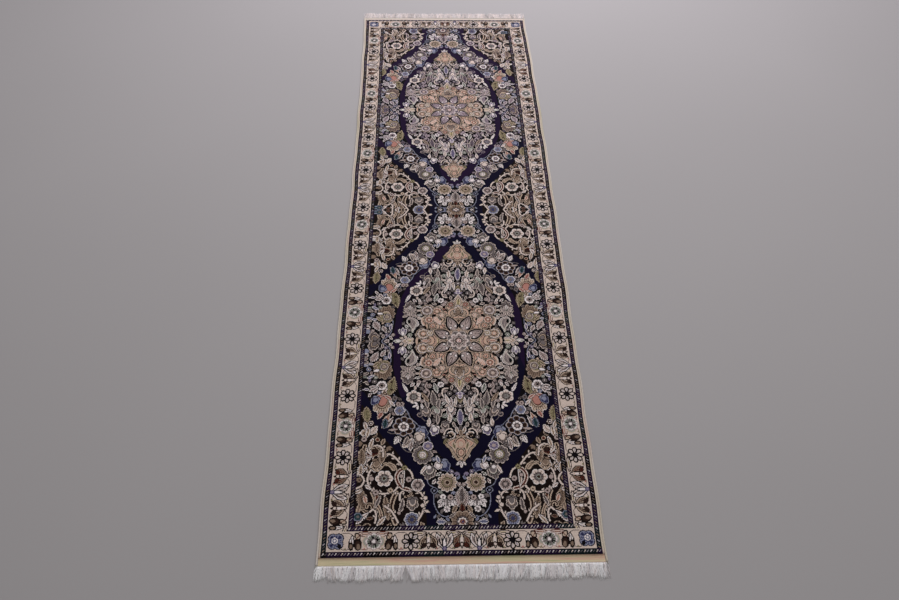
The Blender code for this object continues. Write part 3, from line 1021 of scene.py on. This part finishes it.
def flat_weave_cotton(name, paler_by):
    """Cream, straw and peach wefts that run across the end in long uneven streaks."""
    dye = Dye(name, 0.92, 0.1)
    streak = dye.noise(1.0, 3, dye.scaled(5, 190, 1), 0.6)
    patch = dye.noise(1.0, 2, dye.scaled(3.4, 46, 1))
    stops = (
        (0.36, (0.62, 0.58, 0.34)),
        (0.44, (0.77, 0.66, 0.44)),
        (0.50, (0.80, 0.59, 0.42)),
        (0.56, (0.76, 0.47, 0.37)),
        (0.62, (0.80, 0.65, 0.48)),
        (0.70, (0.64, 0.59, 0.37)),
    )
    # the far band's wefts are drawn paler, towards this colour
    pale = (0.74, 0.68, 0.63)
    stops = [(place, [c + (p - c) * paler_by for c, p in zip(shade, pale)]) for place, shade in stops]
    weft = dye.ramp(streak * 0.4 + patch * 0.6, stops)
    fibre = dye.noise(1100, 3, dye.scaled(0.35, 1, 1))
    dye.bump(fibre, 0.0004)
    return dye.finish(dye.times(weft, 0.80 + fibre * 0.22 + streak * 0.10), 0.86 + fibre * 0.1)


def fringe_cotton():
    """White cotton, each strand a little lighter, greyer or creamier than its neighbours."""
    dye = Dye("fringe_cotton", 0.9, 0.1)
    fibre = dye.noise(1500, 3)
    dye.bump(fibre, 0.0003)
    return dye.finish(dye.times(dye.own("strand"), 0.84 + fibre * 0.30), 0.84 + fibre * 0.12)


def grid_sheet(low, high, pitch):
    """A flat sheet of squares about pitch wide, between two corners, at the higher corner's level."""
    across = max(2, round((high.x - low.x) / pitch[0]))
    along = max(2, round((high.y - low.y) / pitch[1]))
    deselect()
    centre = ((low.x + high.x) / 2, (low.y + high.y) / 2, high.z)
    bpy.ops.mesh.primitive_grid_add(x_subdivisions=across, y_subdivisions=along, size=1, location=centre)
    obj = bpy.context.object
    obj.scale = (high.x - low.x, high.y - low.y, 1)
    bpy.ops.object.transform_apply(location=True, rotation=True, scale=True)
    return obj


def close_slab(obj, thickness):
    """Gives a sheet its sides and a flat underside, thickness lower."""
    edit_edges(obj)
    bpy.ops.mesh.select_non_manifold()
    bpy.ops.mesh.extrude_region_move(TRANSFORM_OT_translate={"value": (0, 0, -thickness)})
    bpy.ops.mesh.edge_face_add()
    turn_outwards()


def pile_piece(name, low, high, node, slot, material, knots, edges=""):
    """One stretch of knotted pile. edges names the sides where the pile ends in the open."""
    sizes = bpy.context.scene.rug_sizes
    pitch = sizes.knot
    obj = grid_sheet(low, high, (pitch, pitch))
    close_slab(obj, high.z - low.z)
    centre = face_centres(obj.data)
    half = pitch * 0.45
    x = np.clip(centre[:, 0], low.x + half, high.x - half)
    y = np.clip(centre[:, 1], low.y + half, high.y - half)
    ink = knots(x, y)
    seeds = np.random.default_rng(len(name) * 977 + 1)
    shade = seeds.normal(1.0, sizes.unevenness, len(ink))[:, None]
    dye_faces(obj.data, "knot", np.clip(yarn_colours()[ink] * shade, 0, 1))
    co = points_of(obj)
    top = co[:, 2] > high.z - SAME_LEVEL
    fuzz = seeds.normal(0, 0.00012, int(top.sum()))
    wave = 0.00022 * np.sin(co[top, 0] * 61 + 1) * np.sin(co[top, 1] * 47)
    co[top, 2] += np.clip(fuzz + wave, -0.0004, 0.0004) - 0.0002
    reach = {"left": co[:, 0] - low.x, "right": high.x - co[:, 0], "near": co[:, 1] - low.y, "far": high.y - co[:, 1]}
    for edge in edges.split():
        co[top, 2] -= EDGE_DROP * (1 - smooth_step(reach[edge][top], 0, EDGE_ROUND))
    put_points(obj, co)
    finish_piece(obj, name, material, slot, node)


SAME_LEVEL = 1e-5  # points closer than this lie at the same place
EDGE_DROP, EDGE_ROUND = 0.0016, 0.0035  # how far an open edge of the pile sinks, and over what width


def in_stretches(name, low, high, ends, count, node, slot, material, knots):
    """Knots a long band as pieces that follow each other from the near end."""
    cuts = np.linspace(*ends, count + 1)
    for i, (y0, y1) in enumerate(zip(cuts, cuts[1:])):
        corners = Vector((low.x, y0, low.z)), Vector((high.x, y1, high.z))
        pile_piece(f"{name}_{i + 1}", *corners, node, slot, material, knots)


def at(plan, rows, cols):
    """Yarns of a plan at rows and columns in knots, held inside the plan."""
    rows = np.clip(rows.astype(int), 0, plan.shape[0] - 1)
    return plan[rows, np.clip(cols.astype(int), 0, plan.shape[1] - 1)]


def field_knots(x, y):
    """Yarns of the field. The design wanders a little to one side, as it does when knotted by eye."""
    drift = np.interp(y / HALF_LENGTH, *DRIFT)
    ink = at(PLANS["field"], np.abs(np.abs(mm(y)) - MEDALLION), np.abs(mm(x) - drift))
    # a violet dye lot of the blue comes in near one end, and towards the other end violet copies of four yarns come
    # in: painted sheen, for the violet cast the far pile takes on in the light
    dye_lot_and_sheen_place = y + 0.14 * np.sin(x * 11 + y * 3) + 0.10 * np.sin(y * 9 - x * 17)
    ink[(ink == KEYS.index("n")) & (dye_lot_and_sheen_place > -0.62) & (dye_lot_and_sheen_place < -0.40)] = KEYS.index("z")
    # painted sheen: at the far end the blue, grey, fawn and tan are swapped for violet yarns
    for first, sheen_tinted in ("nz", "gG", "fF", "tT"):
        ink[(ink == KEYS.index(first)) & (dye_lot_and_sheen_place > 0.28)] = KEYS.index(sheen_tinted)
    return ink


MEDALLION = 635.0  # millimetres from the middle of the rug to the heart of each medallion
DRIFT = ((-0.9, -0.55, -0.12, 0.0, 0.17, 0.38, 0.6, 0.8, 0.95), (4, 8, 12, 12, 9, 2, -7, -12, -14))


def side_knots(inner, low_y):
    """Yarns of a side border: columns from its inner edge out, rows from the near end up."""
    return lambda x, y: at(PLANS["side"], mm(y) - low_y, mm(np.abs(x)) - inner)


def end_knots(inner):
    """Yarns of an end border: rows from its inner edge out, columns from the middle out."""
    return lambda x, y: at(PLANS["end"], mm(np.abs(y)) - inner, mm(np.abs(x)))


def guard_knots(inner, wide, along_y, dashes):
    """A dark stripe with slanting light dashes between two plain edges."""

    def knots(x, y):
        run, off = (mm(y), mm(np.abs(x)) - inner) if along_y else (mm(x), mm(np.abs(y)) - inner)
        ink = np.full(len(run), KEYS.index("k"), int)
        cycle = np.floor(run / 70 + 0.5 * np.sin(run / 90)) % 6
        ink[cycle % 2 == 1] = KEYS.index("z")
        ink[cycle == 4] = KEYS.index("v")
        slant = run + off * 0.8
        turn = np.floor(slant / DASH_PITCH)
        dash = (off > GUARD_EDGE) & (off < wide - GUARD_EDGE) & (turn != np.floor((slant - DASH_GAP) / DASH_PITCH))
        for i, key in enumerate(dashes):
            ink[dash & (turn % len(dashes) == i)] = KEYS.index(key)
        return ink

    return knots


DASH_PITCH, DASH_GAP, GUARD_EDGE = 9.0, 2.4, 3.2  # millimetres


def plain_knots(x, y):
    bands = np.floor(mm(y) / 95 + np.sin(y * 9)) % 4
    return np.where(bands == 1, KEYS.index("q"), KEYS.index("j"))


def whole_plan(x, y):
    """Yarns of the whole rug at points of its plan."""
    ink = np.full(len(x), KEYS.index("k"), int)
    ax, ay = np.abs(x), np.abs(y)
    field = (ax < FIELD_HIGH.x) & (ay < FIELD_HIGH.y)
    ink[field] = field_knots(x[field], y[field])
    low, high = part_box("main_border_right")
    end_low, end_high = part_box("main_border_far")
    side = (ax > low.x) & (ax < high.x) & (ay < end_low.y)
    ink[side] = side_knots(mm(low.x), -mm(end_high.y))(x[side], y[side])
    end = (ay > end_low.y) & (ay < end_high.y) & (ax < end_high.x)
    ink[end] = end_knots(mm(end_low.y))(x[end], y[end])
    ink[(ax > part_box("edge_pile_right")[0].x)] = KEYS.index("j")
    return ink


def area_lamp(scene, name, place, size, power, colour):
    """A soft square light that looks at the middle of the floor."""
    light = bpy.data.objects.new(name, bpy.data.lights.new(name, "AREA"))
    scene.collection.objects.link(light)
    light.data.size, light.data.energy, light.data.color = size, power, colour
    light.location = place
    light.rotation_euler = (-Vector(place)).to_track_quat("-Z", "Y").to_euler()


class RUG_OT_stage(bpy.types.Operator):
    """Adds the floor, the soft studio light and the camera"""

    bl_idname = "rug.stage"
    bl_label = "Stage"

    def execute(self, context):
        scene = context.scene
        deselect()
        bpy.ops.mesh.primitive_plane_add(size=40, location=(0, 0, 0))
        floor = context.object
        floor.name = "floor"
        dye = Dye("pale_floor", 0.75)
        floor.data.materials.append(dye.finish(dye.mix(dye.noise(0.7), (0.415, 0.400, 0.402), (0.450, 0.434, 0.436))))
        camera = bpy.data.objects.new("camera", bpy.data.cameras.new("camera"))
        scene.collection.objects.link(camera)
        camera.location = (-0.082, -2.0512, 2.0171)
        camera.rotation_euler = Euler([math.radians(a) for a in (38.3989, -0.8601, -1.1433)])
        camera.data.lens = 28.832
        scene.camera = camera
        area_lamp(scene, "softbox_above", (0.5, 0.9, 3.6), 4.0, 44, (1.0, 0.985, 0.97))
        area_lamp(scene, "softbox_far", (0.6, 4.0, 2.6), 3.0, 150, (0.965, 0.92, 1.0))
        world = bpy.data.worlds.new("studio")
        world.use_nodes = True
        background = world.node_tree.nodes["Background"]
        background.inputs["Color"].default_value = (1.0, 0.985, 0.975, 1)
        background.inputs["Strength"].default_value = 0.27
        scene.world = world
        scene.view_settings.view_transform = "Standard"
        return {"FINISHED"}


class RUG_OT_field(bpy.types.Operator):
    """Knots the field in stretches along the rug"""

    bl_idname = "rug.field"
    bl_label = "Field pile"

    def execute(self, context):
        PLANS["field"] = field_quarter(312, 652)
        low, high = FIELD_LOW.copy(), FIELD_HIGH.copy()
        low.x, high.x = low.x - HALF_SEAM, high.x + HALF_SEAM
        ends = low.y - HALF_SEAM, high.y + HALF_SEAM
        count = context.scene.rug_sizes.stretches
        wool = wool_pile("field_wool", 0.03)
        in_stretches("field_pile", low, high, ends, count, "field_pile", "navy_wool", wool, field_knots)
        return {"FINISHED"}


class RUG_OT_borders(bpy.types.Operator):
    """Knots the ivory main border, the two guard stripes and the plain edge strips"""

    bl_idname = "rug.borders"
    bl_label = "Borders"

    def execute(self, context):
        ivory, dark = wool_pile("border_wool", 0.06), wool_pile("guard_wool", 0.03)
        edge = wool_pile("edge_wool", 0.06)
        low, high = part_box("main_border_right")
        wide = int(mm(high.x - low.x))
        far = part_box("main_border_far")[1]
        PLANS["side"] = side_border(wide, int(mm(2 * far.y)) + 1, mm(HALF_LENGTH - far.y))
        PLANS["end"] = end_border(int(mm(far.x)) + 2, wide)
        for band, material, slot, parts in (
            ("inner_guard", dark, "guard_wool", 2),
            ("main_border", ivory, "ivory_wool", context.scene.rug_sizes.border_stretches),
            ("outer_guard", dark, "guard_wool", 2),
        ):
            main, outer = band == "main_border", band == "outer_guard"
            for side in SIDES:
                node = f"{band}_{side}"
                low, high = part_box(node)
                low.x, high.x, low.y, high.y = (
                    low.x - HALF_SEAM, high.x + HALF_SEAM, low.y - HALF_SEAM, high.y + HALF_SEAM,
                )
                inside = mm(min(abs(low.x), abs(high.x)))
                stripe = guard_knots(inside, mm(high.x - low.x), True, "hgtg")
                knots = side_knots(inside, -mm(far.y)) if main else stripe
                in_stretches(node, low, high, (low.y, high.y), parts, node, slot, material, knots)
            for end in ENDS:
                node = f"{band}_{end}"
                low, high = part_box(node)
                low.x, high.x = low.x - HALF_SEAM, high.x + HALF_SEAM
                if not outer or end == "near":
                    high.y += HALF_SEAM
                if not outer or end == "far":
                    low.y -= HALF_SEAM
                inside = mm(min(abs(low.y), abs(high.y)))
                stripe = guard_knots(inside, mm(high.y - low.y), False, "hwgi")
                knots = end_knots(inside) if main else stripe
                pile_piece(f"{node}_pile", low, high, node, slot, material, knots, end if outer else "")
        for side in SIDES:
            node = f"edge_pile_{side}"
            low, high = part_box(node)
            if side == "left":
                high.x += HALF_SEAM
            else:
                low.x -= HALF_SEAM
            pile_piece(f"{node}_pile", low, high, node, "ivory_wool", edge, plain_knots, side + " near far")
        return {"FINISHED"}


class RUG_OT_foundation(bpy.types.Operator):
    """Weaves the cotton ground, with the knots' colours showing on its back"""

    bl_idname = "rug.foundation"
    bl_label = "Foundation"

    def execute(self, context):
        low, high = WOVEN
        obj = grid_sheet(low, Vector((high.x, high.y, low.z)), (GROUND_PITCH, GROUND_PITCH))
        edit_edges(obj)
        bpy.ops.mesh.select_all(action="SELECT")
        bpy.ops.mesh.flip_normals()
        close_slab(obj, low.z - high.z)
        centre = face_centres(obj.data)
        knots = yarn_colours()[whole_plan(centre[:, 0], centre[:, 1])]
        dye_faces(obj.data, "knot", knots * 0.8 + np.array([0.42, 0.37, 0.30]) * 0.2)
        put_points(obj, points_of(obj))
        finish_piece(obj, "foundation_weave_cloth", foundation_back(), "cotton_ground", "foundation_weave")
        return {"FINISHED"}


GROUND_PITCH = 0.0055  # width of the squares of the ground's sheet


class RUG_OT_selvedges(bpy.types.Operator):
    """Winds the overcast wool round each side's core of warps"""

    bl_idname = "rug.selvedges"
    bl_label = "Selvedges"

    def execute(self, context):
        winding = context.scene.rug_sizes.winding
        wool = overcast_wool()
        for side, sign in SIDES.items():
            low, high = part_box(f"selvedge_wrap_{side}")
            centre, long = (low + high) / 2, high.y - low.y
            deselect()
            bpy.ops.mesh.primitive_cylinder_add(
                vertices=12, radius=(high.z - low.z) / 2, depth=long, location=centre, rotation=(math.pi / 2, 0, 0)
            )
            obj = context.object
            bpy.ops.object.transform_apply(location=True, rotation=True, scale=True)
            cut_in_rings(obj, 1, int(long / (winding / 3)))
            co = points_of(obj)
            angle = np.arctan2(co[:, 2] - centre.z, co[:, 0] - centre.x)
            wind = np.cos(2 * math.pi * co[:, 1] / winding + sign * angle)
            rng = np.random.default_rng(31 + sign)
            slow = 0.05 * np.sin(co[:, 1] * 37 + sign) + 0.03 * np.sin(co[:, 1] * 83)
            swell = 0.93 + 0.07 * wind + slow * 0.6 + rng.normal(0, 0.012, len(co))
            swell[np.abs(np.abs(co[:, 1]) - HALF_LENGTH) < SAME_LEVEL] *= 0.8
            co[:, 0] = centre.x + (co[:, 0] - centre.x) * swell
            co[:, 2] = np.maximum(centre.z + (co[:, 2] - centre.z) * swell, 0.0)
            put_points(obj, co)
            nodes = f"selvedge_wrap_{side}", f"selvedge_core_{side}"
            finish_piece(obj, f"selvedge_winding_{side}", wool, "selvedge_wool", *nodes, smooth=True)
        return {"FINISHED"}


def rope(end, length, radius, plies, strand, sides, step):
    """The twining of an end, along X about the origin: plies strands twisted round each other."""
    rings = max(8, int(length / step))
    s = np.linspace(-length / 2, length / 2, rings + 1)
    ring = np.arange(sides) * 2 * math.pi / sides
    rng = np.random.default_rng(5 + ENDS[end])
    points, faces = [], []
    for p in range(plies):
        turn = 2 * math.pi * (s / TWINE_LAY + p / plies)
        away = radius - strand
        thick = (strand * (1 + 0.05 * np.sin(s * 310 + p) + rng.normal(0, 0.02, len(s))))[:, None]
        y = away * np.cos(turn)[:, None] + thick * np.cos(ring)
        z = away * np.sin(turn)[:, None] + thick * np.sin(ring)
        points.append(np.stack([np.repeat(s[:, None], sides, 1), y, z], -1).reshape(-1, 3))
        first, last = p * (rings + 1) * sides, (p * (rings + 1) + rings) * sides
        i, j = np.meshgrid(np.arange(rings), np.arange(sides), indexing="ij")
        k = (j + 1) % sides
        quad = np.stack([i * sides + j, i * sides + k, (i + 1) * sides + k, (i + 1) * sides + j], -1)
        faces += (quad.reshape(-1, 4) + first).tolist()
        faces += [list(range(first + sides - 1, first - 1, -1)), list(range(last, last + sides))]
    return made_of(f"twined_{end}", points, faces)


TWINE_LAY = 0.0062  # length of one turn of the twining


class RUG_OT_ends(bpy.types.Operator):
    """Weaves the flat band at each end and twines the row that locks it"""

    bl_idname = "rug.ends"
    bl_label = "Flat-woven ends"

    def execute(self, context):
        white = twined_cotton()
        for end, sign in ENDS.items():
            low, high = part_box(f"flatweave_{end}")
            obj = grid_sheet(low, high, (WARP_PITCH / 2, WEFT_PITCH))
            close_slab(obj, high.z - low.z)
            co = points_of(obj)
            top = co[:, 2] > high.z - SAME_LEVEL
            row = np.round((co[top, 1] - low.y) / WEFT_PITCH).astype(int)
            over = np.cos(co[top, 0] * math.pi / WARP_PITCH + math.pi * (row // 2 % 2))
            rng = np.random.default_rng(7 + sign)
            co[top, 2] += 0.00018 * over - 0.00022 * (row % 2) - 0.0003 + rng.normal(0, 0.00004, int(top.sum()))
            put_points(obj, co)
            flat = flat_weave_cotton(f"flat_weave_{end}", 0.0 if end == "near" else 0.75)
            finish_piece(obj, f"flatweave_{end}_band", flat, "flatweave_cotton", f"flatweave_{end}")
            low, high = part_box(f"twined_row_{end}")
            radius = (high.z - low.z) / 2
            obj = rope(end, high.x - low.x, radius, 2, radius * 0.62, 7, 0.0011)
            co = points_of(obj) + np.array([0, (low.y + high.y) / 2, radius])
            co[:, 2] = np.maximum(co[:, 2], 0)
            put_points(obj, co)
            finish_piece(obj, f"twined_row_{end}_yarn", white, "cotton_white", f"twined_row_{end}", smooth=True)
        return {"FINISHED"}


WARP_PITCH, WEFT_PITCH = 0.0032, 0.0009  # spacing of the flat weave's warps and wefts


class RUG_OT_fringes(bpy.types.Operator):
    """Combs out the warp ends into tufts of single strands"""

    bl_idname = "rug.fringes"
    bl_label = "Fringes"

    def execute(self, context):
        cotton = fringe_cotton()
        for end, sign in ENDS.items():
            low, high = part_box(f"fringe_{end}")
            # the far fringe gets a darker, pinker tone than the near one: painted shade on the same warp cotton
            shade = (0.97, 0.92, 0.92) if end == "near" else (0.78, 0.71, 0.69)
            obj = fringe(low, high, sign, context.scene.rug_sizes.strands, shade)
            put_points(obj, points_of(obj))
            finish_piece(obj, f"fringe_{end}_strands", cotton, "cotton_white", f"fringe_{end}", smooth=True)
        return {"FINISHED"}


def straight_strand(sides, steps):
    """Points and faces of one upright strand of height and radius 1, cut in steps."""
    deselect()
    bpy.ops.mesh.primitive_cylinder_add(vertices=sides, radius=1, depth=1)
    one = bpy.context.object
    cut_in_rings(one, 2, steps - 1)
    points, loops = points_of(one), [list(p.vertices) for p in one.data.polygons]
    bpy.data.objects.remove(one, do_unlink=True)
    return points, loops


def fringe(low, high, sign, strands, shade):
    """Strands between two corners, gathered in tufts that lean and lie over each other."""
    rng = np.random.default_rng(11 + sign)
    left, right, length = low.x + 0.001, high.x - 0.004, high.y - low.y
    root = high.y if sign < 0 else low.y
    strand, loops = straight_strand(4, 7)
    t = strand[:, 2] + 0.5
    tufts = max(4, int((right - left) / TUFT_PITCH))
    lean = np.convolve(rng.normal(0, 0.24, tufts + 4), np.ones(3) / 3, "same")[2:-2] + rng.normal(0, 0.08, tufts)
    reach = np.clip(rng.normal(0.93, 0.08, tufts), 0.66, 1.0)
    tone = rng.normal(1.0, 0.11, tufts)
    points, faces, shades = [], [], []
    for i in range(strands):
        x0 = left + (right - left) * (i + rng.uniform(0, 1)) / strands
        k = min(tufts - 1, int((x0 - left) / (right - left) * tufts))
        middle = left + (k + 0.5) * (right - left) / tufts
        long = length * reach[k] * np.clip(rng.normal(0.93, 0.10), 0.5, 1.0)
        sway = lean[k] + rng.normal(0, 0.17)
        curl = rng.normal(0, 0.0020)
        thick = rng.uniform(0.00045, 0.00075)
        gather = 0.28 * smooth_step(t, 0.0, 0.35) * (1 - 0.75 * smooth_step(t, 0.45, 1.0))
        across = x0 + (middle - x0) * gather + sway * long * t + curl * np.sin(t * math.pi * rng.uniform(0.8, 2.2))
        across = np.clip(across, left - 0.004, right + 0.004)
        layer = rng.uniform(0, 1)
        lift = thick + 0.0018 * layer * (1 - 0.5 * t) + 0.0008 * np.sin(t * 3.1) * rng.uniform(0, 1)
        width = thick * (1 - 0.4 * t)
        y = root + sign * (t * long - 0.0008 * (1 - t))
        z = np.maximum(lift + strand[:, 1] * width, ABOVE_FLOOR)
        points.append(np.stack([across + strand[:, 0] * width, y, z], 1))
        first = i * len(strand)
        faces += [[first + v for v in (loop if sign < 0 else loop[::-1])] for loop in loops]
        light = np.clip(tone[k] * rng.normal(1.03, 0.13), 0.45, 1.2)
        warm = rng.normal(0, 0.02)
        hue = [light * (shade[0] + warm), light * shade[1], light * (shade[2] - warm)]
        shades.append(np.tile(np.clip(hue, 0, 1), (len(loops), 1)))
    obj = made_of("fringe", points, faces)
    dye_faces(obj.data, "strand", np.vstack(shades))
    edit_edges(obj)
    turn_outwards()
    return obj


TUFT_PITCH = 0.0098  # width of one tuft
ABOVE_FLOOR = 0.00002  # keeps the strands' undersides clear of the floor


class RugSizes(bpy.types.PropertyGroup):
    """The sizes and counts of the rug's yarns and stretches"""

    knot: FloatProperty(name="Knot", description="Width of one knot of pile", default=0.002, unit="LENGTH")
    unevenness: FloatProperty(name="Unevenness", description="How much the dye varies between knots", default=0.07)
    stretches: IntProperty(name="Field stretches", description="Stretches that the field is made in", default=10)
    border_stretches: IntProperty(name="Border stretches", description="Stretches in each side border", default=4)
    winding: FloatProperty(name="Winding", description="Pitch of the overcast wool", default=0.0024, unit="LENGTH")
    strands: IntProperty(name="Strands", description="Strands in each fringe", default=2000)


RugColours = type(
    "RugColours",
    (bpy.types.PropertyGroup,),
    {
        "__doc__": "The colour of each yarn",
        "__annotations__": {
            f"yarn_{key}": FloatVectorProperty(
                name=label.capitalize(),
                description=f"Yarn of {label}",
                subtype="COLOR_GAMMA",
                size=3,
                min=0,
                max=1,
                default=[c / 255 for c in shade],
            )
            for key, (label, shade) in YARNS.items()
        },
    },
)

PIECES = (
    RUG_OT_stage, RUG_OT_field, RUG_OT_borders, RUG_OT_foundation, RUG_OT_selvedges, RUG_OT_ends, RUG_OT_fringes,
)


class RUG_PT_panel(bpy.types.Panel):
    """Lists the rug's pieces, sizes and yarns"""

    bl_idname = "RUG_PT_panel"
    bl_label = "Runner rug"
    bl_space_type = "VIEW_3D"
    bl_region_type = "UI"
    bl_category = "Rug"

    def draw(self, context):
        for operator in PIECES:
            self.layout.operator(operator.bl_idname)
        for group in (context.scene.rug_sizes, context.scene.rug_colours):
            for key in group.bl_rna.properties.keys():
                if key not in ("rna_type", "name"):
                    self.layout.prop(group, key)


CLASSES = (RugSizes, RugColours, *PIECES, RUG_PT_panel)


def register():
    for cls in CLASSES:
        bpy.utils.register_class(cls)
    bpy.types.Scene.rug_sizes = PointerProperty(type=RugSizes)
    bpy.types.Scene.rug_colours = PointerProperty(type=RugColours)


def unregister():
    del bpy.types.Scene.rug_colours
    del bpy.types.Scene.rug_sizes
    for cls in reversed(CLASSES):
        bpy.utils.unregister_class(cls)


def main():
    register()
    bpy.ops.rug.stage()
    bpy.ops.rug.field()
    bpy.ops.rug.borders()
    bpy.ops.rug.foundation()
    bpy.ops.rug.selvedges()
    bpy.ops.rug.ends()
    bpy.ops.rug.fringes()
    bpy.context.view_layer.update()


if __name__ == "__main__":
    main()
